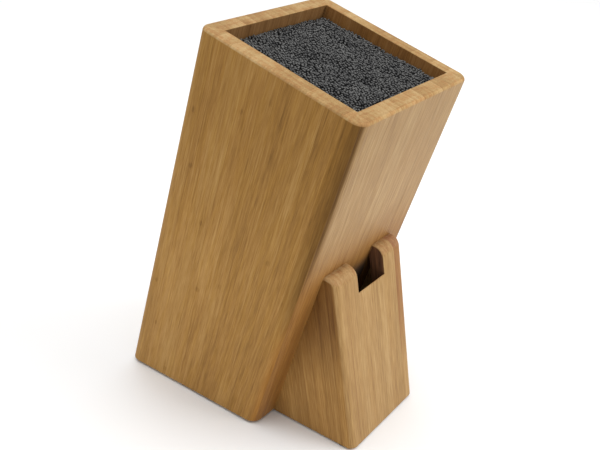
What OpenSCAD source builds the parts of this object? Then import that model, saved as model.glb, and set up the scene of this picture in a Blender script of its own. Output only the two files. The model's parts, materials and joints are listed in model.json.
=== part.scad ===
// Leaning knife block: a mitred bamboo case with a lift-out bristle insert,
// held at its lean by a hollow, notched bamboo stand.
// Millimetres. +Z is up, the stand and the user's side are at -Y, and the block is
// mirror-symmetric about X = 0. The origin is under the middle of the whole block.

/* [Case] */
// Width of the case across its side boards
case_w = 106; // [90:1:130]
// Depth of the case, square to its front board
case_d = 102; // [85:1:115]
// Length of the case up its leaning back face
case_len = 240; // [225:1:260]
// Lean of the case towards the stand, in degrees
tilt = 16.5; // [12:0.5:18]
// Thickness of every board
board_t = 9.5; // [8:0.5:11]
// Radius of the four long outer edges of the case
edge_r = 6.5; // [5:0.5:8]
// Radius of the outer edge rolled round the rim
rim_r = 2; // [1:0.1:4.5]

/* [Stand] */
// Width of the stand across its side boards
stand_w = 69; // [60:1:80]
// Distance from the case's back edge to the stand's foot, along the table
foot_reach = 164; // [158:1:172]
// Lean of the stand's outer panel back towards the case, in degrees
panel_lean = 10.4; // [8:0.2:11]
// Height of the stand's ears, measured up the case's front board
ear_rise = 109.5; // [105:0.5:112]
// Radius of the ear tops, where they round into the outer panel's face
ear_r = 7.5; // [4:0.1:8]
// Radius of the stand's upright outer edges
stand_r = 4.8; // [3:0.1:5]
// Width of the notch in the outer panel
notch_w = 27; // [20:1:30]
// Height of the notch's outer edge, measured up the outer panel
notch_rise = 91.5; // [80:0.5:94]
// Slope of the notch's floor down into the pocket, in degrees
notch_slope = 40; // [0:1:45]

/* [Bristle insert] */
// Depth of the bristle tips below the rim
bristle_drop = 4; // [3:0.1:15]
// Gap between the insert and the boards round it
insert_gap = 0.6; // [0.4:0.1:1.5]
// Thickness of the plate that holds the bristles
plate_t = 5; // [4:0.5:8]
// Wall thickness of the plate's slanted skirt
skirt_t = 2; // [1.5:0.1:3]

/* [Screws and pads] */
// Length of the screws that hold the stand
screw_len = 25; // [20:1:28]
// Radius of the screw shanks
screw_r = 1.75; // [1.5:0.05:2]
// Radius of the anti-slip pads
pad_r = 4; // [3:0.1:4]
// Thickness of the anti-slip pads
pad_t = 1; // [0.8:0.1:2]

/* [Hidden] */
$fn = 96;

// Sizes inside the case
inner_w = case_w - 2 * board_t;
inner_d = case_d - 2 * board_t;
// The case's foot line runs level, so the front board starts this far along the table
front_foot = case_d / cos(tilt);
// Furthest forward point of the case: the front of its rolled rim
rim_front = case_len * sin(tilt) + case_d * cos(tilt) - rim_r * (sin(tilt) + cos(tilt) - 1);
// The case's back edge, placed so that the whole block is centred on the origin
back_y = max(rim_front, foot_reach) / 2;
// Larger than anything here, for cutting
big = 400;

// Stand: points in a side view, as [distance from the back edge, height above the pads]
ear_z = ear_rise * cos(tilt);
ear_touch = [front_foot + ear_rise * sin(tilt), ear_z];
// Centre of the rounding where an ear's level top meets the outer panel's face
ear_round_z = ear_z - ear_r;
ear_round = [foot_reach - ear_round_z * tan(panel_lean) - ear_r / cos(panel_lean), ear_round_z];
outer_panel_w = stand_w - 2 * board_t;

// Insert: heights are measured up the case, from its back edge
plate_half_w = inner_w / 2 - insert_gap;
plate_back = board_t + insert_gap;
plate_front = case_d - board_t - insert_gap;
plate_low = (board_t + plate_front * sin(tilt)) / cos(tilt);
plate_high = plate_low + plate_t;
bristle_high = case_len - bristle_drop;

// Screws: the countersunk heads lie flush with the inside of the front board
screw_x = (stand_w - board_t) / 2;
screw_rise = [24, 76];
screw_head_r = 2 * screw_r;
screw_head_h = 2;
screw_tip = 4;
screw_foot_z = front_foot * sin(tilt);

// Pads: places along the table, measured from the back edge
pad_x = inner_w / 2 - 9;
rear_pad = 20;
front_pad = front_foot - 20;
stand_pad = foot_reach - 9;

// ---- frames ----

// Leaning frame of the case: Z runs up the back face and -Y runs towards the front board
module lean() {
    translate([0, back_y, pad_t])
        rotate([tilt, 0, 0])
            children();
}

// Extrudes a side view, [distance from the back edge, height], across the block's width
module side_view(width) {
    translate([-width / 2, back_y, pad_t])
        rotate([90, 0, 90])
            linear_extrude(width)
                mirror([1, 0])
                    children();
}

// Frame of the outer panel: Z runs up its outer face, -Y points out of it
module panel_frame() {
    translate([0, back_y - foot_reach, pad_t])
        rotate([-panel_lean, 0, 0])
            children();
}

// Everything above the level that the boards stand on
module above_foot() {
    translate([-big / 2, -big / 2, pad_t])
        cube([big, big, big]);
}

// ---- case ----

module rounded_rect(w, d, r) {
    translate([-w / 2 + r, -d / 2]) square([w - 2 * r, d]);
    translate([-w / 2, -d / 2 + r]) square([w, d - 2 * r]);
    for (sx = [-1, 1], sy = [-1, 1])
        translate([sx * (w / 2 - r), sy * (d / 2 - r)]) circle(r);
}

// Quarter of the rim's rolled corner, turned about the long edge's own axis
module rim_corner() {
    rotate_extrude()
        intersection() {
            square([edge_r, rim_r]);
            union() {
                square([edge_r - rim_r, rim_r]);
                translate([edge_r - rim_r, 0]) circle(rim_r);
            }
        }
}

// Outside shape of the case, in the leaning frame, with its rolled rim
module case_outside() {
    translate([0, -case_d / 2, 0]) {
        linear_extrude(case_len - rim_r) rounded_rect(case_w, case_d, edge_r);
        translate([0, 0, case_len - rim_r]) {
            linear_extrude(rim_r) {
                square([case_w - 2 * edge_r, case_d - 2 * rim_r], center = true);
                square([case_w - 2 * rim_r, case_d - 2 * edge_r], center = true);
            }
            for (side = [-1, 1]) {
                translate([0, side * (case_d / 2 - rim_r), 0])
                    rotate([0, 90, 0])
                        cylinder(h = case_w - 2 * edge_r, r = rim_r, center = true);
                translate([side * (case_w / 2 - rim_r), 0, 0])
                    rotate([90, 0, 0])
                        cylinder(h = case_d - 2 * edge_r, r = rim_r, center = true);
                for (end = [-1, 1])
                    translate([side * (case_w / 2 - edge_r), end * (case_d / 2 - edge_r), 0])
                        rim_corner();
            }
        }
    }
}

// One case board: its mitred plan is cut from the outside shape and levelled at the foot
module case_board(plan) {
    intersection() {
        lean() case_outside();
        lean() linear_extrude(case_len) polygon(plan);
        above_foot();
    }
}

// side is -1 for the left board and 1 for the right one
module side_panel(side) {
    x_out = side * case_w / 2;
    x_in = side * inner_w / 2;
    color("#a8793f")
        case_board([[x_out, 0], [x_in, -board_t], [x_in, board_t - case_d], [x_out, -case_d]]);
}

module side_panel_left() side_panel(-1);

module side_panel_right() side_panel(1);

module back_panel() {
    color("#b88a52")
        case_board([[-case_w / 2, 0], [case_w / 2, 0], [inner_w / 2, -board_t], [-inner_w / 2, -board_t]]);
}

module front_panel() {
    color("#c39d6b")
        difference() {
            case_board([
                [-case_w / 2, -case_d], [case_w / 2, -case_d],
                [inner_w / 2, board_t - case_d], [-inner_w / 2, board_t - case_d]
            ]);
            at_screws() screw_body();
        }
}

// Level board glued in between the case boards, flush with their feet
module base_panel() {
    color("#a87f4a")
        intersection() {
            lean()
                translate([-inner_w / 2, board_t - case_d, 0])
                    cube([inner_w, inner_d, case_len]);
            translate([-big / 2, -big / 2, pad_t])
                cube([big, big, board_t]);
        }
}

// ---- stand ----

// Side view of the stand, with its ear top rounded into the outer face
module stand_outline() {
    ear_edge = [foot_reach - ear_z * tan(panel_lean), ear_z];
    round_start = ear_round + ear_r * [cos(panel_lean), sin(panel_lean)];
    intersection() {
        polygon([[front_foot, 0], [foot_reach, 0], ear_edge, ear_touch]);
        union() {
            polygon([
                [front_foot, 0], [foot_reach, 0], round_start,
                ear_round, [ear_round[0], ear_z], ear_touch
            ]);
            translate(ear_round) circle(ear_r);
        }
    }
}

// Plan of the stand, looking down the outer panel, with rounded outer edges
module stand_plan() {
    reach = 2 * front_foot;
    translate([-stand_w / 2, stand_r]) square([stand_w, reach]);
    translate([-stand_w / 2 + stand_r, 0]) square([stand_w - 2 * stand_r, reach]);
    for (side = [-1, 1])
        translate([side * (stand_w / 2 - stand_r), stand_r]) circle(stand_r);
}

module stand_outside() {
    intersection() {
        side_view(stand_w) stand_outline();
        panel_frame()
            translate([0, 0, -big / 2])
                linear_extrude(big) stand_plan();
    }
}

// side is -1 for the left board and 1 for the right one
module stand_side(side) {
    color("#b48a54")
        difference() {
            intersection() {
                stand_outside();
                translate([side * (stand_w - board_t) / 2, 0, big / 2])
                    cube([board_t, big, big], center = true);
            }
            at_screws() screw_body();
        }
}

module stand_side_left() stand_side(-1);

module stand_side_right() stand_side(1);

// Side view of the notch, as [depth into the outer panel, height up it]
module notch_outline() {
    drop = board_t * tan(notch_slope);
    polygon([
        [-board_t, notch_rise + drop],
        [2 * board_t, notch_rise - 2 * drop],
        [2 * board_t, big],
        [-board_t, big]
    ]);
}

// Notched board between the stand's side boards, bevelled where it meets the case
module stand_outer_panel() {
    color("#c69f69")
        difference() {
            intersection() {
                stand_outside();
                panel_frame()
                    translate([-outer_panel_w / 2, 0, -big / 2])
                        cube([outer_panel_w, board_t, big]);
            }
            panel_frame()
                rotate([90, 0, 90])
                    linear_extrude(notch_w, center = true) notch_outline();
        }
}

// Level board that closes the foot of the stand's pocket
module stand_floor() {
    inside = foot_reach - board_t / cos(panel_lean);
    color("#a87f4a")
        side_view(outer_panel_w)
            polygon([
                [front_foot, 0],
                [inside, 0],
                [inside - board_t * tan(panel_lean), board_t],
                [front_foot + board_t * tan(tilt), board_t]
            ]);
}

// ---- screws ----

// Countersunk wood screw; its head is at the origin and it points along -Y
module screw_body() {
    rotate([90, 0, 0])
        rotate_extrude()
            polygon([
                [0, 0],
                [screw_head_r, 0],
                [screw_r, screw_head_h],
                [screw_r, screw_len - screw_tip],
                [0, screw_len]
            ]);
}

// Places children at each screw, on the inside of the front board
module at_screws() {
    for (side = [-1, 1], rise = screw_rise)
        lean()
            translate([side * screw_x, board_t - case_d, screw_foot_z + rise])
                children();
}

module stand_screws() {
    slot_w = 0.9;
    slot_deep = 1.2;
    color("#b9b9b4")
        at_screws()
            difference() {
                screw_body();
                for (turn = [0, 90])
                    rotate([0, turn, 0])
                        cube([1.3 * screw_head_r, 2 * slot_deep, slot_w], center = true);
            }
}

// ---- pads ----

module pad(x, along) {
    color("#26241f")
        translate([x, back_y - along, 0])
            cylinder(h = pad_t, r = pad_r);
}

module block_pad_front_left() pad(-pad_x, front_pad);

module block_pad_front_right() pad(pad_x, front_pad);

module block_pad_rear_left() pad(-pad_x, rear_pad);

module block_pad_rear_right() pad(pad_x, rear_pad);

module stand_pad_left() pad(-screw_x, stand_pad);

module stand_pad_right() pad(screw_x, stand_pad);

// ---- bristle insert ----

// Upright block of the insert's plan, in the leaning frame
module insert_block(margin, from, to) {
    translate([margin - plate_half_w, margin - plate_front, from])
        cube([2 * (plate_half_w - margin), plate_front - plate_back - 2 * margin, to - from]);
}

// Moulded plate that the bristles are set in, on a skirt that stands on the level base
module bristle_plate() {
    color("#1c1c1e")
        intersection() {
            lean()
                difference() {
                    insert_block(0, 0, plate_high);
                    insert_block(skirt_t, -1, plate_low);
                }
            translate([-big / 2, -big / 2, pad_t + board_t])
                cube([big, big, big]);
        }
}

// The packed bristles, as one plain block
module bristle_bundle() {
    color("#2a2b2e")
        lean()
            insert_block(0, plate_high, bristle_high);
}

side_panel_left();
side_panel_right();
back_panel();
front_panel();
base_panel();
stand_side_left();
stand_side_right();
stand_outer_panel();
stand_floor();
stand_screws();
block_pad_front_left();
block_pad_front_right();
block_pad_rear_left();
block_pad_rear_right();
stand_pad_left();
stand_pad_right();
bristle_plate();
bristle_bundle();
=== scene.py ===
import json
import math
import random

import bmesh
import bpy
from mathutils import Matrix, Quaternion, Vector, noise


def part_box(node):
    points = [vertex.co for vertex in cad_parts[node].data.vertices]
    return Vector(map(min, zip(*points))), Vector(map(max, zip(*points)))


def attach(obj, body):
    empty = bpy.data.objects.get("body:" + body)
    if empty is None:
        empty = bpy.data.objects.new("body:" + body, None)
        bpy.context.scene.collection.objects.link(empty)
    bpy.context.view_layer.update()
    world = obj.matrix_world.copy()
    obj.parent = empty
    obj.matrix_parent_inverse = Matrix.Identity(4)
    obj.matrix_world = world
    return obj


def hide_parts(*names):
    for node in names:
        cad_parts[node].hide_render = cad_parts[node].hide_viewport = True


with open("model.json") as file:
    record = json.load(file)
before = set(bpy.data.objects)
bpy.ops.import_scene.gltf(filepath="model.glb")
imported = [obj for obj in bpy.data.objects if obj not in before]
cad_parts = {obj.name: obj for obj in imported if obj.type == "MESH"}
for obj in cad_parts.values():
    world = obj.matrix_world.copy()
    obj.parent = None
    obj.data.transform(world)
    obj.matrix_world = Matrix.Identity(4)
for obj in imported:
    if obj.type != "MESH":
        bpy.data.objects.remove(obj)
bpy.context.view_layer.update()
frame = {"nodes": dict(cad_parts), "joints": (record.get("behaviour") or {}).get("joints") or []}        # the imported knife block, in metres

# Looks of a leaning bristle knife block: bamboo boards, wood screws, rubber feet and a
# moulded insert full of nylon rods. Each piece is built in a flat frame of its own, such as
# the case's leaning one, and its material reads its grain in that same frame.

MM = 0.001
QUARTER = math.pi / 2

# Camera: where it stands, which way it looks, and its lens in millimetres
CAMERA_AT = (-0.337213, -0.256387, 0.321024)
CAMERA_YAW = math.radians(54.1957)
CAMERA_PITCH = math.radians(-26.8694)
CAMERA_ROLL = math.radians(2.2092)
CAMERA_LENS = 47.766

# Boards
BOARD = 9.5 * MM          # thickness of every board
EDGE_R = 6.5 * MM         # long outer edges of the case
RIM_R = 2 * MM            # outer edge of the rim
INNER_R = 0.5 * MM        # inner edge of the rim
FOOT_R = 1.8 * MM         # outer edge of the case's foot
STAND_FOOT_R = 0.6 * MM   # and of the stand's, where the pads reach closer to the edge
PANEL_LEAN = math.radians(10.4)   # of the stand's outer face, from upright
STAND_R = 4.8 * MM        # upright outer edges of the stand
EAR_R = 7.5 * MM          # ear tops, where they round into the outer panel's face
EAR_SIDE_R = 2.2 * MM     # side edges of the ear tops
NOTCH_HALF = 13.5 * MM    # half its width
NOTCH_RISE = 91.5 * MM    # height of the notch's outer edge, up the outer panel
NOTCH_SLOPE = math.radians(40)    # of its floor, down into the pocket
NOTCH_SOFT = 0.5 * MM     # sanded edge round the notch

# Steps round a quarter turn: of an edge that shows, the stand's upright edges, a foot's edge
# and a slight edge
ARC_STEPS = 10
STAND_R_STEPS = 12
FOOT_STEPS = 5
SLIGHT_STEPS = 4

# Insert
ROD_PITCH = 1.6 * MM
ROD_R = 0.62 * MM
ROD_SIDES = 8
ROD_TIP = 0.35 * MM       # height of a rod's rounded tip
ROD_GAP = 0.02 * MM       # between the outermost rods and the case
SKIRT = 2 * MM            # thickness of the plate's skirt
PLATE = 5 * MM            # thickness of the plate over its skirt

# Screws
SCREW_RISE = (24 * MM, 76 * MM)   # their heights up the case, from its front foot
SCREW_LEN = 25 * MM
SCREW_R = 1.75 * MM
SCREW_HEAD_R = 3.5 * MM
SCREW_HEAD_H = 2 * MM

# Feet
PAD_R = 4 * MM
PAD_LIP_R = 0.25 * MM     # edge that a pad stands on
PAD_DISH = 0.25 * MM      # depth of the hollow under a pad

# Mesh building
MERGE = 0.001 * MM        # points closer than this are one
SHARP_ANGLE = math.radians(35)
ROD_SHARP_ANGLE = math.radians(60)

# Sizes and places that the frame gives
lift_axis = Vector(frame["joints"][0]["axis"])
TILT = math.atan2(-lift_axis.y, lift_axis.z)
BACK_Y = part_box("back_panel")[1].y
PAD_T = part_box("side_panel_left")[0].z
FOOT_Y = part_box("stand_outer_panel")[0].y

# The case's frame: Z runs up its back face, and its front board is towards -Y
LEAN = Matrix.Translation((0, BACK_Y, PAD_T)) @ Matrix.Rotation(TILT, 4, "X")
# The stand's frame: Z runs up the outer panel's face, and -Y points out of it
PANEL = Matrix.Translation((0, FOOT_Y, PAD_T)) @ Matrix.Rotation(-PANEL_LEAN, 4, "X")


def span(node, matrix):
    """Lowest and highest corner of a CAD node in the frame that matrix gives."""
    inverse = matrix.inverted()
    points = [inverse @ v.co for v in frame["nodes"][node].data.vertices]
    return (
        Vector([min(p[k] for p in points) for k in range(3)]),
        Vector([max(p[k] for p in points) for k in range(3)]),
    )


CASE_HALF_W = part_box("side_panel_right")[1].x
CASE_D = -span("front_panel", LEAN)[0].y
CASE_LEN = span("front_panel", LEAN)[1].z
STAND_HALF_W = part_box("stand_side_right")[1].x
PANEL_HALF_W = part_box("stand_outer_panel")[1].x
EAR_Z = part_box("stand_side_left")[1].z - PAD_T
FOOT_REACH = BACK_Y - FOOT_Y
FRONT_FOOT = CASE_D / math.cos(TILT)


# ---- camera, light and floor ----

def add_camera():
    data = bpy.data.cameras.new("camera")
    data.lens = CAMERA_LENS
    data.clip_start = 0.01
    data.clip_end = 50
    camera = bpy.data.objects.new("camera", data)
    level = math.cos(CAMERA_PITCH)
    ahead = Vector((
        math.sin(CAMERA_YAW) * level, math.cos(CAMERA_YAW) * level, math.sin(CAMERA_PITCH)
    ))
    camera.location = CAMERA_AT
    camera.rotation_mode = "QUATERNION"
    camera.rotation_quaternion = (
        ahead.to_track_quat("-Z", "Y") @ Quaternion((0, 0, 1), CAMERA_ROLL)
    )
    bpy.context.scene.collection.objects.link(camera)
    bpy.context.scene.camera = camera


def add_area_light(name, place, aim, size, power):
    data = bpy.data.lights.new(name, "AREA")
    data.shape = "RECTANGLE"
    data.size, data.size_y = size
    data.energy = power
    light = bpy.data.objects.new(name, data)
    light.location = place
    light.rotation_mode = "QUATERNION"
    light.rotation_quaternion = (Vector(aim) - Vector(place)).to_track_quat("-Z", "Y")
    bpy.context.scene.collection.objects.link(light)


def add_studio():
    world = bpy.data.worlds.new("studio")
    world.use_nodes = True
    background = world.node_tree.nodes["Background"]
    background.inputs["Color"].default_value = (1.0, 1.0, 1.0, 1)
    background.inputs["Strength"].default_value = 0.48
    bpy.context.scene.world = world
    bpy.context.scene.view_settings.view_transform = "Standard"
    middle = (0, 0, 0.1)
    add_area_light("key", place=(0.5, -1.1, 1.0), aim=middle, size=(0.9, 0.9), power=11)
    add_area_light("top", place=(0.2, 0.4, 2.6), aim=(0.2, 0.4, 0), size=(3.4, 3.4), power=68)

    floor_mesh = bpy.data.meshes.new("floor")
    reach = 6
    floor_mesh.from_pydata(
        [(-reach, -reach, 0), (reach, -reach, 0), (reach, reach, 0), (-reach, reach, 0)],
        [], [(0, 1, 2, 3)],
    )
    floor = bpy.data.objects.new("floor", floor_mesh)
    bpy.context.scene.collection.objects.link(floor)
    paper = bpy.data.materials.new("floor_paper")
    paper.use_nodes = True
    shader = paper.node_tree.nodes["Principled BSDF"]
    shader.inputs["Base Color"].default_value = (0.9, 0.9, 0.9, 1)
    shader.inputs["Roughness"].default_value = 0.9
    floor_mesh.materials.append(paper)


# ---- materials ----

class Graph:
    """One material's node tree, with short names for the nodes that this script uses."""

    def __init__(self, name, **constants):
        self.material = bpy.data.materials.new(name)
        self.material.use_nodes = True
        self.tree = self.material.node_tree
        self.shader = self.tree.nodes["Principled BSDF"]
        for socket, value in constants.items():
            self.shader.inputs[socket.replace("_", " ")].default_value = value

    def feed(self, socket, value):
        if isinstance(value, bpy.types.NodeSocket):
            self.tree.links.new(value, socket)
        else:
            socket.default_value = value

    def node(self, kind, sockets, **settings):
        made = self.tree.nodes.new("ShaderNode" + kind)
        for name, value in settings.items():
            setattr(made, name, value)
        for name, value in sockets.items():
            self.feed(made.inputs[name], value)
        return made

    def math(self, operation, *values):
        return self.node("Math", dict(enumerate(values)), operation=operation).outputs[0]

    def minus(self, value, other):
        return self.math("SUBTRACT", value, other)

    def magnitude(self, value):
        return self.math("ABSOLUTE", value)

    def add(self, *values):
        total = values[0]
        for value in values[1:]:
            total = self.math("ADD", total, value)
        return total

    def times(self, *values):
        total = values[0]
        for value in values[1:]:
            total = self.math("MULTIPLY", total, value)
        return total

    def fade(self, value, low, high, to_low=0.0, to_high=1.0):
        """Goes smoothly from to_low at low to to_high at high."""
        sockets = {"Value": value, "From Min": low, "From Max": high,
                   "To Min": to_low, "To Max": to_high}
        return self.node("MapRange", sockets, interpolation_type="SMOOTHSTEP").outputs[0]

    def combine(self, x, y, z):
        return self.node("CombineXYZ", {"X": x, "Y": y, "Z": z}).outputs[0]

    def noise(self, vector, scale=1.0, detail=2.0):
        sockets = {"Vector": vector, "Scale": scale, "Detail": detail, "Roughness": 0.55}
        return self.node("TexNoise", sockets).outputs["Fac"]

    def random(self, value):
        """Three even random numbers for each whole value."""
        made = self.node("TexWhiteNoise", {"W": value}, noise_dimensions="1D")
        split = self.node("SeparateColor", {"Color": made.outputs["Color"]})
        return split.outputs[:3]

    def ramp(self, value, stops):
        made = self.node("ValToRGB", {"Fac": value})
        bar = made.color_ramp
        while len(bar.elements) < len(stops):
            bar.elements.new(0.5)
        for element, (place, colour) in zip(bar.elements, stops):
            element.position = place
            element.color = (*colour, 1)
        return made.outputs["Color"]

    def mix(self, share, a, b, blend="MIX"):
        made = self.node("Mix", {"Factor": share}, data_type="RGBA", blend_type=blend)
        sockets = [s for s in made.inputs if s.type == "RGBA"]
        self.feed(sockets[0], a)
        self.feed(sockets[1], b)
        return [s for s in made.outputs if s.type == "RGBA"][0]

    def tint(self, share, colour, factor):
        """Multiplies the colour by a factor for each channel, as far as share says."""
        return self.mix(share, colour, (*factor, 1), "MULTIPLY")

    def in_mm(self, place):
        return [self.times(p, 1 / MM) for p in place]

    def local(self, matrix):
        """Place and surface direction in the frame that matrix gives, as X, Y, Z sockets."""
        source = self.node("TexCoord", {})
        turn = matrix.to_euler()
        split = []
        for output, shift in (("Object", matrix.translation), ("Normal", (0, 0, 0))):
            sockets = {"Vector": source.outputs[output], "Location": shift, "Rotation": turn}
            mapped = self.node("Mapping", sockets, vector_type="TEXTURE").outputs[0]
            split.append(self.node("SeparateXYZ", {"Vector": mapped}).outputs[:3])
        return split

    def finish(self, colour, roughness, height=None, depth=0.0):
        self.feed(self.shader.inputs["Base Color"], colour)
        self.feed(self.shader.inputs["Roughness"], roughness)
        if height is not None:
            bump = self.node("Bump", {"Height": height, "Distance": depth})
            self.feed(self.shader.inputs["Normal"], bump.outputs["Normal"])
        return self.material


WOOD_GLOSS = 0.12

# Colours of dark, middle and pale fibres: the case's sides, most boards, the case's front, and
# the end grain of most boards, of the stand and of its right side board
AMBER = ((0.178, 0.083, 0.019), (0.402, 0.213, 0.057), (0.582, 0.355, 0.126))
HONEY = ((0.230, 0.122, 0.042), (0.395, 0.236, 0.092), (0.555, 0.378, 0.175))
BEIGE = ((0.225, 0.125, 0.052), (0.390, 0.243, 0.110), (0.540, 0.378, 0.195))
END_GRAIN = ((0.175, 0.094, 0.031), (0.345, 0.214, 0.086), (0.520, 0.362, 0.180))
PALE_END = ((0.195, 0.103, 0.038), (0.376, 0.232, 0.100), (0.540, 0.374, 0.194))
RED_END = ((0.140, 0.060, 0.026), (0.290, 0.150, 0.070), (0.410, 0.245, 0.130))

# Factors on the colour of any bamboo
WARM_STRIP = (1.07, 0.97, 0.86)
GOLD_FIBRE = (1.02, 1.00, 0.78)
PINK_END = (1.03, 0.93, 0.90)
END_EDGE_HIGHLIGHT = (1.20, 1.20, 1.20)

# Factors on the colour of the case's side boards: the last strip's darker tone, partly its own
# and partly painted shade; painted shade on the rounded edge; painted warm bounce light and
# shade low on that edge; painted shade under the rim and inside the case
SIDE_LAST_STRIP_AND_SHADE = (0.75, 0.72, 0.62)
SIDE_EDGE_SHADE = (0.70, 0.68, 0.62)
SIDE_LOW_EDGE_BOUNCE_SHADE = (0.90, 0.76, 0.55)
SIDE_UNDER_RIM_SHADE = (0.82, 0.80, 0.74)
SIDE_INSIDE_SHADE = (0.80, 0.72, 0.84)

# The same for its front and back boards: painted shade on the rounded edge, painted warm
# bounce light and shade beside the stand, a painted shadow in the pocket, painted shade under
# the rim and inside the case
FRONT_EDGE_SHADE = (0.43, 0.34, 0.20)
FRONT_STAND_BOUNCE_SHADE = (0.76, 0.56, 0.30)
FRONT_UNDER_RIM_SHADE = (0.90, 0.90, 0.88)
FRONT_INSIDE_SHADE = (0.62, 0.52, 0.44)
BACK_INSIDE_SHADE = (0.52, 0.44, 0.40)

# The same for the stand's side boards: painted shade on their outer sides, a painted shadow
# of the case high on them, their glue line, and the right board's redder tone
STAND_SIDE_SHADE = (0.97, 0.86, 0.63)
STAND_CASE_SHADOW = (0.51, 0.43, 0.34)
STAND_SEAM = (0.74, 0.64, 0.56)
STAND_RIGHT = (0.80, 0.66, 0.60)

# Colours of the painted shadow on the case behind the notch, inside the pocket, and of burnt
# wood: dark and pale fibres of the notch's walls, and its floor
POCKET_SHADOW = (0.090, 0.060, 0.042)
BURNT_WALL = ((0.070, 0.032, 0.017), (0.190, 0.090, 0.045))
BURNT_SLOPE = (0.052, 0.046, 0.042)


def bamboo(name, matrix, across, strip, seed, palette=HONEY, ends=END_GRAIN, rough=0.5,
           eyes=0.0, golden=0.1, strip_tone=0.1, figure=1.35, run=1.0, glue_tone=0.05,
           extra=None):
    """Glued bamboo strips. Their grain runs along the frame's Z, and across is the axis,
    0 for X or 1 for Y, that counts the strips, each about strip millimetres wide. figure is
    the contrast of the streaks and run is their length. eyes, golden, strip_tone and
    glue_tone say how much the cane's eyes, its golden fibres, the strips and the glue lines
    show. extra changes the colour of the long grain by place."""
    g = Graph(name, Specular_IOR_Level=WOOD_GLOSS)
    place, facing = g.local(matrix)
    u = g.times(place[across], 1 / MM)
    v = g.times(place[1 - across], 1 / MM)
    w = g.times(place[2], 1 / MM)

    # Strips of slightly uneven width, each with its own tone and its own stretch of fibres
    count = g.times(u, 1 / strip)
    count = g.add(count, g.times(g.math("SINE", g.add(g.times(count, 2.1), seed)), 0.1))
    index = g.math("FLOOR", count)
    within = g.math("FRACT", count)
    tone_seed, node_seed, hue_seed = g.random(g.add(index, seed + 0.5))
    along = g.add(w, g.times(node_seed, 700))

    def fibres(cross_scale, along_scale, detail):
        """Noise about zero, stretched along the grain; its scales are for each millimetre."""
        vector = g.combine(g.times(u, cross_scale), g.times(v, cross_scale),
                           g.times(along, along_scale / run))
        return g.minus(g.noise(vector, detail=detail), 0.5)

    drift = fibres(0.11, 0.009, 2)
    streaks = fibres(0.70, 0.022, 3)
    lines = fibres(1.35, 0.014, 2)
    dashes = fibres(1.2, 0.060, 2)
    fine = fibres(2.2, 0.100, 3)
    gold = g.fade(fibres(0.30, 0.022, 2), -0.04, 0.10)

    # Thin dark glue line where two strips meet
    glue_width = 0.35
    side = g.magnitude(g.minus(within, 0.5))
    glue = g.fade(side, 0.5 - glue_width / strip, 0.5)

    # Eyes of the bamboo cane: a small dark smudge in a strip, with a faint tail along the grain
    period = 120
    shift = g.times(hue_seed, 640)
    phase = g.math("FRACT", g.times(g.add(along, shift), 1 / period))
    beside = g.times(g.minus(phase, 0.5), period)
    aside = g.times(g.minus(within, g.fade(hue_seed, 0, 1, 0.2, 0.8)), strip)
    aside = g.add(aside, g.times(dashes, 4))

    def smudge(length, width):
        size = g.add(g.math("POWER", g.magnitude(g.times(beside, 1 / length)), 2),
                     g.math("POWER", g.magnitude(g.times(aside, 1 / width)), 2))
        return g.fade(size, 0.1, 1.0, 1, 0)

    tail = g.times(smudge(length=12, width=1.0), 0.45)
    eye = g.add(smudge(length=2.4, width=1.5), tail)
    eye = g.times(eye, g.fade(tone_seed, 0.25, 0.7, 0.25, 1))

    tone = g.add(
        0.5,
        g.times(g.minus(tone_seed, 0.5), strip_tone),
        g.times(drift, 0.62),
        g.times(streaks, 0.36 * figure),
        g.times(lines, 0.50 * figure),
        g.times(dashes, 0.50 * figure),
        g.times(fine, 0.66 * figure),
        g.times(glue, -glue_tone),
        g.times(eye, -0.18 * eyes),
    )
    colour = g.ramp(tone, list(zip((0.0, 0.5, 1.0), palette)))
    colour = g.tint(g.times(hue_seed, 0.22), colour, WARM_STRIP)
    colour = g.tint(g.times(gold, golden), colour, GOLD_FIBRE)
    if extra:
        colour = extra(g, place, facing, colour)

    # End grain, where the surface crosses the fibres: paler, speckled by the fibres' ends, in
    # faint bands along the board, and denser towards one side of each strip. A painted
    # highlight makes the edge where it rounds over the palest.
    steep = g.magnitude(facing[2])
    end = g.fade(steep, 0.16, 0.42)
    speckle = g.noise(g.combine(g.times(u, 1.1), g.times(v, 1.1), 0.0), detail=3)
    blotches = g.noise(g.combine(g.times(u, 0.42), g.times(v, 0.16), seed), detail=2)
    bands = g.noise(g.combine(g.times(u, 0.05), g.times(v, 0.40), seed + 5), detail=2)
    end_tone = g.add(
        -0.33,
        g.times(speckle, 0.65),
        g.times(blotches, 0.45),
        g.times(bands, 0.55),
        g.times(g.minus(tone_seed, 0.5), 0.22),
        g.times(g.minus(within, 0.5), 0.12),
        g.times(drift, 0.3),
        g.times(glue, -0.06),
    )
    end_colour = g.ramp(end_tone, list(zip((0.0, 0.5, 1.0), ends)))
    pink = g.fade(g.add(blotches, bands), 1.08, 0.88)
    end_colour = g.tint(pink, end_colour, PINK_END)
    # Painted highlight where the end grain rounds over an edge
    edge_highlight = g.times(g.fade(steep, 0.05, 0.30), g.fade(steep, 0.85, 0.98, 1, 0))
    end_colour = g.tint(edge_highlight, end_colour, END_EDGE_HIGHLIGHT)
    shade = g.mix(end, colour, end_colour)

    roughness = g.add(rough, g.times(fine, 0.25), g.times(end, 0.05))
    height = g.add(g.times(fine, 0.6), g.times(streaks, 0.5), g.times(glue, -0.5))
    return g.finish(shade, roughness, height, 0.05 * MM)


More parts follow.
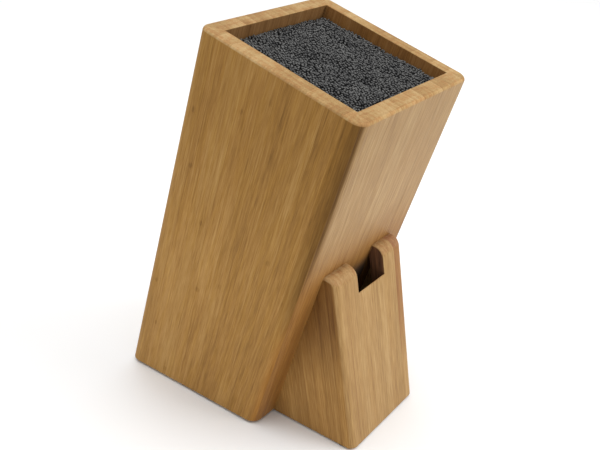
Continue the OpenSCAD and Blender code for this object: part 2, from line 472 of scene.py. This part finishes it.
def painted_inside_shade(g, place, colour, factor):
    """Painted shade: the inner faces of the case are darker than its outside, by the factor."""
    beside = g.magnitude(place[0])
    from_middle = g.magnitude(g.add(place[1], CASE_D / 2))

    def within(distance, wall):
        """1 up to just behind the wall's inner face."""
        return g.fade(distance, wall + 0.1 * MM, wall + 0.5 * MM, 1, 0)

    inside = g.times(
        within(beside, CASE_HALF_W - BOARD), within(from_middle, CASE_D / 2 - BOARD)
    )
    return g.tint(inside, colour, factor)


def rounded_edge(g, facing):
    """1 where the surface turns from the left side to the front, round the near long edge."""
    front = g.times(facing[1], -1)
    turning = g.times(g.fade(front, 0.05, 0.5), g.fade(front, 0.82, 0.97, 1, 0))
    return g.times(turning, g.fade(facing[0], -0.3, -0.1, 1, 0))


def side_details(g, place, facing, colour):
    """The side boards' last strip, up to the mitre, is darker from the rim to half way down,
    partly its own tone and partly painted shade, and the rounded edge beside it has painted
    shade there; low down, that edge has painted warm bounce light and shade. Painted shade
    darkens the boards towards the rim and inside the case."""
    from_front = g.add(place[1], CASE_D)
    high = g.fade(place[2], 80 * MM, 140 * MM)
    # Darker last strip: partly its own tone, partly painted shade
    last_strip = g.times(g.fade(from_front, 8.6 * MM, 10.4 * MM, 1, 0), high)
    colour = g.tint(last_strip, colour, SIDE_LAST_STRIP_AND_SHADE)
    # Painted shade on the rounded edge, from the rim to half way down
    turning = g.times(rounded_edge(g, facing), high)
    colour = g.tint(turning, colour, SIDE_EDGE_SHADE)
    # Painted warm bounce light and shade on the edge, low down
    low_edge = g.times(g.fade(from_front, 1 * MM, 7 * MM, 1, 0), g.minus(1.0, high))
    colour = g.tint(low_edge, colour, SIDE_LOW_EDGE_BOUNCE_SHADE)
    # Painted shade towards the rim
    under_rim = g.fade(place[2], CASE_LEN - 140 * MM, CASE_LEN - 3 * MM)
    colour = g.tint(under_rim, colour, SIDE_UNDER_RIM_SHADE)
    return painted_inside_shade(g, place, colour, SIDE_INSIDE_SHADE)


def front_details(g, place, facing, colour):
    """Painted shade darkens the front board's near rounded edge, the board under its rim and
    its inside. Painted warm bounce light and shade turn it amber low down, beside the stand,
    and a painted shadow darkens it where the notch opens onto it, inside the pocket."""
    ear_line = FRONT_FOOT * math.sin(TILT) + EAR_Z / math.cos(TILT)
    high = g.fade(place[2], ear_line - 12 * MM, ear_line + 38 * MM)
    # Painted shade on the near rounded edge, above the stand
    turning = g.times(rounded_edge(g, facing), high)
    colour = g.tint(turning, colour, FRONT_EDGE_SHADE)
    # Painted warm bounce light and shade, amber low down by the stand
    colour = g.tint(g.minus(1.0, high), colour, FRONT_STAND_BOUNCE_SHADE)

    # Painted shadow inside the pocket, where the notch opens onto the case
    middle = g.fade(g.magnitude(place[0]), NOTCH_HALF, NOTCH_HALF + 3 * MM, 1, 0)
    below = g.fade(place[2], ear_line - 19 * MM, ear_line - 3.5 * MM, 1, 0)
    outer = g.fade(facing[1], -0.8, -0.5, 1, 0)
    colour = g.mix(g.times(middle, below, outer), colour, (*POCKET_SHADOW, 1))
    # Painted shade towards the rim
    under_rim = g.fade(place[2], CASE_LEN - 70 * MM, CASE_LEN - 3 * MM)
    colour = g.tint(under_rim, colour, FRONT_UNDER_RIM_SHADE)
    return painted_inside_shade(g, place, colour, FRONT_INSIDE_SHADE)


def back_details(g, place, facing, colour):
    # Painted shade inside the case
    return painted_inside_shade(g, place, colour, BACK_INSIDE_SHADE)


def stand_side_details(g, place, facing, colour):
    """Painted shade makes the stand's outer sides darker than its front, and a painted shadow
    of the case darkens them most beside it. A thin glue line follows the outer panel."""
    # Painted shade on the outward sides
    outward = g.times(facing[0], place[0], 1 / STAND_HALF_W)
    aside = g.fade(outward, 0.70, 0.95)
    colour = g.tint(aside, colour, STAND_SIDE_SHADE)
    # Painted shadow of the case, high on the sides
    high = g.fade(place[2], EAR_Z - 72 * MM, EAR_Z - 16 * MM)
    colour = g.tint(g.times(aside, high), colour, STAND_CASE_SHADOW)
    past_panel = g.minus(g.magnitude(place[0]), PANEL_HALF_W)
    seam = g.times(
        g.fade(past_panel, 0.05 * MM, 0.2 * MM), g.fade(past_panel, 0.2 * MM, 0.8 * MM, 1, 0)
    )
    return g.tint(seam, colour, STAND_SEAM)


def red_board_details(g, place, facing, colour):
    """The stand's right side board reddens towards its ear, but not inside the pocket."""
    high = g.fade(place[2], 10 * MM, 70 * MM)
    outside = g.fade(place[0], PANEL_HALF_W + 0.05 * MM, PANEL_HALF_W + 0.2 * MM)
    red = g.tint(g.times(high, outside), colour, STAND_RIGHT)
    return stand_side_details(g, place, facing, red)


def burnt_bamboo(name, matrix):
    """The notch's cut faces: brown walls with the grain running up them, and a dark slope."""
    g = Graph(name, Specular_IOR_Level=WOOD_GLOSS)
    place, facing = g.local(matrix)
    x, y, z = g.in_mm(place)
    grain = g.noise(g.combine(x, g.times(y, 1.3), g.times(z, 0.06)), detail=3)
    walls = g.ramp(grain, list(zip((0.3, 0.7), BURNT_WALL)))
    colour = g.mix(g.fade(facing[2], 0.2, 0.6), walls, (*BURNT_SLOPE, 1))
    return g.finish(colour, g.fade(grain, 0.2, 0.8, 0.6, 0.8), grain, 0.05 * MM)


def grained(name, dark, pale, pale_from, scale, detail, rough, depth, **constants):
    """Plain material with fine grain, in colour from dark to pale and in gloss."""
    g = Graph(name, **constants)
    place, _ = g.local(Matrix())
    grain = g.noise(g.combine(*g.in_mm(place)), scale=scale, detail=detail)
    colour = g.ramp(grain, [(0.3, dark), (pale_from, pale)])
    return g.finish(colour, g.fade(grain, 0.2, 0.8, *rough), grain, depth)


def steel(name):
    return grained(name, dark=(0.52, 0.50, 0.44), pale=(0.68, 0.66, 0.60), pale_from=0.7,
                   scale=3, detail=3, rough=(0.24, 0.42), depth=0.02 * MM, Metallic=1.0)


def rubber(name):
    return grained(name, dark=(0.016, 0.015, 0.014), pale=(0.034, 0.032, 0.030),
                   pale_from=0.75, scale=2.5, detail=4, rough=(0.6, 0.85), depth=0.08 * MM)


def moulded_plastic(name):
    return grained(name, dark=(0.011, 0.011, 0.012), pale=(0.019, 0.019, 0.021),
                   pale_from=0.75, scale=1.6, detail=4, rough=(0.38, 0.55), depth=0.03 * MM)


def nylon(name, dark, pale):
    """Bristle nylon; each rod has its own shade between dark and pale, in darker patches."""
    g = Graph(name)
    each = g.node("NewGeometry", {}).outputs["Random Per Island"]
    place, _ = g.local(Matrix())
    here = g.combine(*g.in_mm(place))
    grain = g.noise(here, scale=4, detail=2)
    patches = g.minus(g.noise(here, scale=0.11, detail=2), 0.5)
    mixed = g.add(g.times(each, 0.8), g.times(grain, 0.25), g.times(patches, 0.9))
    colour = g.ramp(mixed, [(0.1, dark), (1.0, pale)])
    return g.finish(colour, g.fade(grain, 0.2, 0.8, 0.42, 0.6), grain, 0.03 * MM)


# ---- mesh building ----

def add_piece(name, build, matrix, body, materials, nodes):
    """Turns a bmesh, built in the frame that matrix gives, into a piece of the object."""
    bmesh.ops.remove_doubles(build, verts=build.verts, dist=MERGE)
    bmesh.ops.dissolve_degenerate(build, edges=build.edges, dist=MERGE)
    bmesh.ops.recalc_face_normals(build, faces=build.faces)
    mesh = bpy.data.meshes.new(name)
    build.to_mesh(mesh)
    build.free()
    mesh.transform(matrix)
    mesh.shade_smooth()
    mesh.set_sharp_from_angle(angle=SHARP_ANGLE)
    for material in materials:
        mesh.materials.append(material)
    piece = bpy.data.objects.new(name, mesh)
    bpy.context.scene.collection.objects.link(piece)
    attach(piece, body)
    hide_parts(*nodes)
    return piece


def bridge(build, rows):
    """Quads between each closed row of points and the next one."""
    for row, following in zip(rows, rows[1:]):
        for k in range(len(row)):
            build.faces.new((row[k - 1], row[k], following[k], following[k - 1]))


def skin(build, rows):
    """Quads between the rows, and a face over the first row and over the last one."""
    bridge(build, rows)
    build.faces.new(rows[0])
    build.faces.new(reversed(rows[-1]))


def loft(rings):
    """Solid through closed rings of places, all with as many places."""
    build = bmesh.new()
    skin(build, [[build.verts.new(p) for p in ring] for ring in rings])
    return build


def arc(start, stop, steps=ARC_STEPS):
    return [start + (stop - start) * k / steps for k in range(steps + 1)]


def lathe(profile):
    """Round solid about Z from a profile of (radius, height), both ends on the axis."""
    build = bmesh.new()
    sides = 48
    rings = [
        [
            build.verts.new((radius * math.cos(a), radius * math.sin(a), height))
            for a in arc(0, 2 * math.pi, sides)[:-1]
        ]
        for radius, height in profile[1:-1]
    ]
    bridge(build, rings)
    for ring, (_, height) in ((rings[0], profile[0]), (rings[-1], profile[-1])):
        tip = build.verts.new((0, 0, height))
        for k in range(sides):
            build.faces.new((ring[k - 1], ring[k], tip))
    return build


def joined(shapes):
    """One bmesh of several, given with the matrix that places each."""
    build = bmesh.new()
    for shape, matrix in shapes:
        shape.transform(matrix)
        mesh = bpy.data.meshes.new("shape")
        shape.to_mesh(mesh)
        shape.free()
        build.from_mesh(mesh)
    return build


def cut(piece, cutter):
    """Cuts the cutter, a bmesh in the world frame, out of the piece. The cut faces take the
    material that the cutter's faces number."""
    mesh = bpy.data.meshes.new("cutter")
    bmesh.ops.recalc_face_normals(cutter, faces=cutter.faces)
    cutter.to_mesh(mesh)
    cutter.free()
    tool = bpy.data.objects.new("cutter", mesh)
    bpy.context.scene.collection.objects.link(tool)
    modifier = piece.modifiers.new("cut", "BOOLEAN")
    modifier.operation = "DIFFERENCE"
    modifier.solver = "EXACT"
    modifier.object = tool
    apply_modifiers(piece)
    bpy.data.objects.remove(tool)


def apply_modifiers(piece):
    seen = piece.evaluated_get(bpy.context.evaluated_depsgraph_get())
    made = bpy.data.meshes.new_from_object(seen)
    made.name = piece.name
    piece.modifiers.clear()
    piece.data = made


def soften(piece, chosen, width, segments=2, material=-1):
    """Rounds the edges that chosen(edge) picks. The rounding takes the numbered material, or
    its neighbour's for -1."""
    build = bmesh.new()
    build.from_mesh(piece.data)
    picked = [e for e in build.edges if len(e.link_faces) == 2 and chosen(e)]
    bmesh.ops.bevel(build, geom=picked, offset=width, offset_type="OFFSET", affect="EDGES",
                    segments=segments, profile=0.5, clamp_overlap=True, material=material)
    build.to_mesh(piece.data)
    build.free()
    piece.data.shade_smooth()
    piece.data.set_sharp_from_angle(angle=SHARP_ANGLE)


def at_corner(edge):
    """Whether the surface turns by more than a radian at an edge."""
    return edge.calc_face_angle(0) > 1


# ---- case ----

CASE_CORNERS = ((1, 1), (-1, 1), (-1, -1), (1, -1))


def case_place(corner, angle, inset):
    """Plan point on the case's outline, moved in by inset, at an angle round a corner."""
    sx, sy = CASE_CORNERS[corner]
    deep = max(EDGE_R, inset)
    radius = max(EDGE_R - inset, 0)
    x = sx * (CASE_HALF_W - deep) + radius * math.cos(angle)
    y = sy * (CASE_D / 2 - deep) + radius * math.sin(angle) - CASE_D / 2
    return x, y


def wall_section(corner, angle):
    """Ring of points round the wall at one place: up its outside, over its rim, down inside."""
    profile = [
        (FOOT_R * (1 - math.sin(a)), FOOT_R * (1 - math.cos(a)), True)
        for a in arc(0, QUARTER, FOOT_STEPS)
    ]
    profile += [
        (RIM_R * (1 - math.cos(a)), CASE_LEN - RIM_R * (1 - math.sin(a)), False)
        for a in arc(0, QUARTER)
    ]
    profile += [
        (BOARD - INNER_R * (1 - math.sin(a)), CASE_LEN - INNER_R * (1 - math.cos(a)), False)
        for a in arc(0, QUARTER, SLIGHT_STEPS)
    ]
    profile.append((BOARD, 0, True))
    ring = []
    for inset, height, on_foot in profile:
        x, y = case_place(corner, angle, inset)
        foot = -y * math.tan(TILT) if on_foot else 0
        ring.append((x, y, foot + height))
    return ring


def case_board(corner):
    """Board from the mitre in one corner of the case to the mitre in the next one."""
    mitre = (corner + 0.5) * QUARTER
    straight = mitre + QUARTER / 2
    following = (corner + 1) % len(CASE_CORNERS)
    rings = [wall_section(corner, a) for a in arc(mitre, straight)]
    rings += [wall_section(following, a) for a in arc(straight, straight + QUARTER / 2)]
    return loft(rings)


def screw_frames():
    """Where each screw's head is, with its point along local Z."""
    forward = Matrix.Rotation(QUARTER, 4, "X")
    x = (STAND_HALF_W + PANEL_HALF_W) / 2
    head_y = BOARD - CASE_D
    foot_z = FRONT_FOOT * math.sin(TILT)
    return [
        LEAN @ Matrix.Translation((side * x, head_y, foot_z + rise)) @ forward
        for side in (-1, 1) for rise in SCREW_RISE
    ]


def drill(piece):
    """Countersunk holes for the four screws."""
    profile = [
        (0, -SCREW_HEAD_H), (SCREW_HEAD_R, -SCREW_HEAD_H), (SCREW_HEAD_R, 0),
        (SCREW_R, SCREW_HEAD_H), (SCREW_R, SCREW_LEN), (0, SCREW_LEN),
    ]
    cut(piece, joined((lathe(profile), matrix) for matrix in screw_frames()))


def add_case():
    side_wood = {
        side: bamboo("bamboo_side_" + side, LEAN, across=1, strip=11.5, seed=seed,
                     palette=AMBER, rough=0.6, eyes=1.0, golden=0.4, strip_tone=0.14,
                     figure=0.92, run=0.8, extra=side_details)
        for side, seed in (("left", 3), ("right", 41))
    }
    front_wood = bamboo("bamboo_front", LEAN, across=0, strip=4.6, seed=7, palette=BEIGE,
                        extra=front_details)
    back_wood = bamboo("bamboo_back", LEAN, across=0, strip=4.6, seed=23, extra=back_details)
    add_piece("side_board_left", case_board(1), LEAN, "block",
              [side_wood["left"]], ["side_panel_left"])
    add_piece("side_board_right", case_board(3), LEAN, "block",
              [side_wood["right"]], ["side_panel_right"])
    add_piece("back_board", case_board(0), LEAN, "block",
              [back_wood], ["back_panel"])
    front = add_piece("front_board", case_board(2), LEAN, "block",
                      [front_wood], ["front_panel"])
    drill(front)


def level_board(name, outline, half_width, seed, node):
    """Level board across the block, from its side view in world Y and Z."""
    rings = [[(x, y, z) for y, z in outline] for x in (-half_width, half_width)]
    # Its grain runs across the block, so its frame's Z is the world's X
    grain = Matrix.Rotation(QUARTER, 4, "Y")
    wood = bamboo("bamboo_" + name, grain, across=1, strip=7.5, seed=seed)
    piece = add_piece(name, loft(rings), Matrix(), "block", [wood], [node])
    soften(piece, at_corner, width=0.3 * MM)


def add_level_boards():
    tan = math.tan(TILT)
    # The base board's edges meet the insides of the back and front boards
    back = BACK_Y - BOARD / math.cos(TILT)
    front = BACK_Y - FRONT_FOOT + BOARD / math.cos(TILT)
    outline = [
        (back, PAD_T), (front, PAD_T),
        (front - BOARD * tan, PAD_T + BOARD), (back - BOARD * tan, PAD_T + BOARD),
    ]
    level_board("base_board", outline, CASE_HALF_W - BOARD, seed=5, node="base_panel")
    # The pocket's floor board reaches from the outer panel's inner face to the case
    inside = FOOT_Y + BOARD / math.cos(PANEL_LEAN)
    case_face = BACK_Y - FRONT_FOOT
    outline = [
        (case_face, PAD_T), (inside, PAD_T),
        (inside + BOARD * math.tan(PANEL_LEAN), PAD_T + BOARD),
        (case_face - BOARD * tan, PAD_T + BOARD),
    ]
    level_board("pocket_floor_board", outline, PANEL_HALF_W, seed=9, node="stand_floor")


# ---- stand ----

def rolled(distance, radius):
    """How far a rounded edge has drawn back at a distance in from the side face."""
    if distance >= radius:
        return 0
    return radius - math.sqrt(radius ** 2 - (radius - distance) ** 2)


def stand_section(x):
    """Side view of the stand at x: from the case out along its foot, up, and over the ear."""
    distance = STAND_HALF_W - abs(x)
    front_cut = rolled(distance, STAND_R)
    top_cut = rolled(distance, EAR_SIDE_R)
    foot_up = rolled(distance, STAND_FOOT_R)
    ear_r = EAR_R - front_cut
    top = EAR_Z - top_cut
    middle_z = top - ear_r
    cos, tan = math.cos(PANEL_LEAN), math.tan(PANEL_LEAN)

    def face(z):
        """Distance along the table from the case's back edge to the outer face."""
        return FOOT_REACH - z * tan - front_cut / cos

    middle = face(middle_z) - ear_r / cos
    points = [(FRONT_FOOT + foot_up * math.tan(TILT), foot_up)]
    for a in arc(0, QUARTER, FOOT_STEPS):
        z = foot_up + STAND_FOOT_R * (1 - math.cos(a))
        points.append((face(z) - STAND_FOOT_R * (1 - math.sin(a)), z))
    points += [
        (middle + ear_r * math.cos(a), middle_z + ear_r * math.sin(a))
        for a in arc(PANEL_LEAN, QUARTER)
    ]
    points.append((FRONT_FOOT + top * math.tan(TILT), top))
    return [(x, BACK_Y - reach, PAD_T + z) for reach, z in points]


def stand_side_board(side):
    """Side board at the left, -1, or the right, 1, out from the outer panel's edge."""
    layers = [PANEL_HALF_W]
    layers += [
        STAND_HALF_W - STAND_R * (1 - math.sin(a)) for a in arc(0, QUARTER, STAND_R_STEPS)
    ]
    layers += [STAND_HALF_W - STAND_FOOT_R, STAND_HALF_W - EAR_SIDE_R]
    return loft([stand_section(side * x) for x in sorted(layers)])


def outer_panel_section(x):
    """The stand's side view, cut back to the outer panel's own thickness."""
    section = stand_section(0)
    cos, tan = math.cos(PANEL_LEAN), math.tan(PANEL_LEAN)
    inner_foot = FOOT_REACH - BOARD / cos
    # The panel's inner face meets the case's front face below the ear
    meet = (inner_foot - FRONT_FOOT) / (math.tan(TILT) + tan)
    inner = [(FRONT_FOOT + meet * math.tan(TILT), meet), (inner_foot, 0)]
    inner = [(x, BACK_Y - reach, PAD_T + z) for reach, z in inner]
    return [(x, y, z) for _, y, z in section[1:]] + inner


def box_cutter(low, high, matrix):
    """Box between two corners in the frame that matrix gives."""
    build = loft([
        [(x, low[1], low[2]), (x, high[1], low[2]), (x, high[1], high[2]), (x, low[1], high[2])]
        for x in (low[0], high[0])
    ])
    build.transform(matrix)
    return build


def notch_cutter():
    """Cuts the notch, whose floor slopes down into the pocket; the cut faces are burnt."""
    drop = BOARD * math.tan(NOTCH_SLOPE)
    high = 2 * NOTCH_RISE
    outline = [
        (-BOARD, NOTCH_RISE + drop), (2 * BOARD, NOTCH_RISE - 2 * drop),
        (2 * BOARD, high), (-BOARD, high),
    ]
    build = loft([[(x, y, z) for y, z in outline] for x in (-NOTCH_HALF, NOTCH_HALF)])
    build.transform(PANEL)
    for face in build.faces:
        face.material_index = 1
    return build


def add_stand():
    wood = {
        "left": bamboo("bamboo_stand_left", PANEL, across=1, strip=7.5, seed=13,
                       ends=PALE_END, glue_tone=0.22, extra=stand_side_details),
        "right": bamboo("bamboo_stand_right", PANEL, across=1, strip=7.5, seed=29,
                        ends=RED_END, glue_tone=0.22, extra=red_board_details),
    }
    for side, sign in (("left", -1), ("right", 1)):
        board = add_piece("stand_board_" + side, stand_side_board(sign), Matrix(), "block",
                          [wood[side]], ["stand_side_" + side])
        drill(board)

    panel_wood = bamboo("bamboo_stand_front", PANEL, across=0, strip=6.2, seed=17,
                        ends=PALE_END)
    panel = loft([outer_panel_section(x) for x in (-PANEL_HALF_W, PANEL_HALF_W)])
    piece = add_piece("stand_front_board", panel, Matrix(), "block",
                      [panel_wood, burnt_bamboo("burnt_bamboo", PANEL)],
                      ["stand_outer_panel"])
    cut(piece, notch_cutter())
    inward = PANEL.to_3x3() @ Vector((0, 1, 0))

    def on_notch(edge):
        """An edge between a burnt face and any other, except the panel's inner face."""
        burnt = sorted(f.material_index for f in edge.link_faces)
        return burnt == [0, 1] and all(f.normal.dot(inward) < 0.9 for f in edge.link_faces)

    soften(piece, on_notch, width=NOTCH_SOFT, segments=3, material=0)


# ---- small parts ----

def add_pads():
    material = rubber("pad_rubber")
    profile = [(0, PAD_DISH), (PAD_R * 0.55, PAD_DISH), (PAD_R * 0.68, 0)]
    profile += [
        (PAD_R - PAD_LIP_R * (1 - math.sin(a)), PAD_LIP_R * (1 - math.cos(a)))
        for a in arc(0, QUARTER, SLIGHT_STEPS)
    ]
    profile += [(PAD_R, PAD_T), (0, PAD_T)]
    for node in (
        "block_pad_front_left", "block_pad_front_right", "block_pad_rear_left",
        "block_pad_rear_right", "stand_pad_left", "stand_pad_right",
    ):
        low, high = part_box(node)
        middle = (low + high) / 2
        add_piece("foot_" + node, lathe(profile), Matrix.Translation((middle.x, middle.y, 0)),
                  "block", [material], [node])


def screw_shape():
    """Countersunk screw, along Z from its head; its thread winds up to the point."""
    build = bmesh.new()
    sides = 24
    steps = 220
    pitch = 1.3 * MM
    thread = 0.35 * MM
    shank_end = 8 * MM
    point = 4 * MM
    point_r = 0.01 * MM
    head_r = SCREW_HEAD_R - 0.1 * MM
    head_edge = 0.15 * MM

    def ring(height, radius_at):
        """Points at a height, each at its radius for a share of a full turn."""
        row = []
        for k in range(sides):
            radius = radius_at(k / sides)
            angle = 2 * math.pi * k / sides
            place = (radius * math.cos(angle), radius * math.sin(angle), height)
            row.append(build.verts.new(place))
        return row

    rows = []
    for step in arc(0, 1, steps):
        height = SCREW_HEAD_H + (SCREW_LEN - SCREW_HEAD_H) * step
        left = SCREW_LEN - height
        core = (SCREW_R - thread) * min(1, left / point)
        grow = min(1, max(0, (height - shank_end) / pitch)) * min(1, left / pitch)

        def threaded(turn):
            ridge = abs(((height / pitch + turn) % 1) * 2 - 1)
            return max(core + thread * ridge * grow, point_r)

        rows.append(ring(height, threaded))
    head = [ring(height, lambda turn: head_r) for height in (0.0, head_edge)]
    skin(build, head + rows)
    return build


def add_screws():
    material = steel("screw_steel")
    build = joined((screw_shape(), matrix) for matrix in screw_frames())
    piece = add_piece("wood_screws", build, Matrix(), "block", [material],
                      ["stand_screws"])
    # Each head's recess is a cross of two slots
    long_half = 2.1 * MM
    short_half = 0.45 * MM
    deep = 1.2 * MM
    for matrix in screw_frames():
        for x, y in ((long_half, short_half), (short_half, long_half)):
            cut(piece, box_cutter((-x, -y, -deep), (x, y, deep), matrix))


# ---- insert ----

def add_plate():
    low, high = span("bristle_plate", LEAN)
    middle_y = (low.y + high.y) / 2

    def foot(y):
        """Height in the leaning frame of the level base board's top, under that place."""
        return BOARD / math.cos(TILT) - y * math.tan(TILT)

    corners = [(high.x, high.y), (low.x, high.y), (low.x, low.y), (high.x, low.y)]
    inner = [
        (math.copysign(abs(x) - SKIRT, x), y - math.copysign(SKIRT, y - middle_y))
        for x, y in corners
    ]
    # From the plate's underside down inside the skirt, round its foot and up its outside
    build = loft([
        [(x, y, high.z - PLATE) for x, y in inner],
        [(x, y, foot(y)) for x, y in inner],
        [(x, y, foot(y)) for x, y in corners],
        [(x, y, high.z) for x, y in corners],
    ])
    material = moulded_plastic("insert_plastic")
    piece = add_piece("insert_plate", build, LEAN, "bristle_insert", [material],
                      ["bristle_plate"])
    soften(piece, at_corner, width=0.5 * MM, segments=3)


def rod_tip(x, y, low, high, draw):
    """How far one rod's tip leans sideways and stops short, from a smooth field and chance."""
    waves = 90                # of the field, per metre
    spread = 0.4              # chance part of the lean, in millimetres
    shortest = 4 * MM
    field = Vector((x * waves, y * waves, 0))
    push = noise.noise_vector(field) * 1.0 * MM + noise.noise_vector(field * 3) * 0.6 * MM
    elsewhere = Vector((7, 3, 1))
    sink = 1.0 * MM * max(0, noise.noise(field * 0.9 + elsewhere))
    # The tips stand lowest beside the back board, and a little lower along every board
    away = (y - low.y) / (high.y - low.y)
    wall = min(x - low.x, high.x - x, y - low.y, high.y - y)
    sink += 0.6 * MM * max(0, 1 - wall / (4 * MM))
    lean_x = push.x + draw.uniform(-spread, spread) * MM
    lean_y = push.y + draw.uniform(-spread, spread) * MM
    short = 0.05 * MM + 1.7 * MM * away + sink + abs(draw.gauss(0, 0.32)) * MM
    return lean_x, lean_y, min(short, shortest)


def add_bristles():
    """Rods in staggered rows, each up from its place on the plate to its own leaning tip."""
    low, high = span("bristle_bundle", LEAN)
    draw = random.Random(11)
    noise.seed_set(11)        # or else noise_vector takes its field from the clock
    margin = ROD_R + ROD_GAP
    row_gap = ROD_PITCH * math.sqrt(3) / 2
    rows = int((high.y - low.y - 2 * margin) / row_gap)
    columns = int((high.x - low.x - 2 * margin) / ROD_PITCH)
    start_y = (low.y + high.y - rows * row_gap) / 2
    start_x = (low.x + high.x - (columns - 0.5) * ROD_PITCH) / 2
    ring = [
        Vector((math.cos(a), math.sin(a), 0)) * ROD_R
        for a in arc(0, 2 * math.pi, ROD_SIDES)[:-1]
    ]
    # A tip rounds in from below over a narrower ring to its middle
    shoulder = Vector((0, 0, ROD_TIP))
    crown = Vector((0, 0, 0.08 * MM))
    crown_share = 0.72
    verts, faces, tips = [], [], []

    def keep(value, lowest, highest):
        """The value, or as near as a whole rod stays between the boards."""
        return min(max(value, lowest + margin), highest - margin)

    for j in range(rows + 1):
        for i in range(columns):
            x = start_x + (i + 0.5 * (j % 2)) * ROD_PITCH
            y = start_y + j * row_gap
            lean_x, lean_y, short = rod_tip(x, y, low, high, draw)
            top = Vector((keep(x + lean_x, low.x, high.x), keep(y + lean_y, low.y, high.y),
                          high.z - short))
            foot = Vector((x, y, low.z))
            first = len(verts)
            verts += [foot + p for p in ring]
            verts += [top + p - shoulder for p in ring]
            verts += [top + p * crown_share - crown for p in ring]
            verts.append(top)
            centre = first + 3 * ROD_SIDES
            for k in range(ROD_SIDES):
                a, b = first + k, first + (k + 1) % ROD_SIDES
                a_mid, b_mid = a + ROD_SIDES, b + ROD_SIDES
                a_top, b_top = a_mid + ROD_SIDES, b_mid + ROD_SIDES
                faces += [(a, b, b_mid, a_mid), (a_mid, b_mid, b_top, a_top),
                          (a_top, b_top, centre)]
                tips += [0, 1, 1]
            faces.append(tuple(range(first + ROD_SIDES - 1, first - 1, -1)))
            tips.append(0)

    mesh = bpy.data.meshes.new("bristle_rods")
    mesh.from_pydata(verts, [], faces)
    mesh.polygons.foreach_set("material_index", tips)
    mesh.transform(LEAN)
    mesh.shade_smooth()
    mesh.set_sharp_from_angle(angle=ROD_SHARP_ANGLE)
    for name, dark, pale in (
        ("bristle_nylon", (0.006, 0.006, 0.007), (0.016, 0.016, 0.017)),
        ("bristle_tip_nylon", (0.008, 0.008, 0.009), (0.108, 0.108, 0.104)),
    ):
        mesh.materials.append(nylon(name, dark, pale))
    piece = bpy.data.objects.new("bristle_rods", mesh)
    bpy.context.scene.collection.objects.link(piece)
    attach(piece, "bristle_insert")
    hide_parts("bristle_bundle")


add_camera()
add_studio()
add_case()
add_level_boards()
add_stand()
add_pads()
add_screws()
add_plate()
add_bristles()
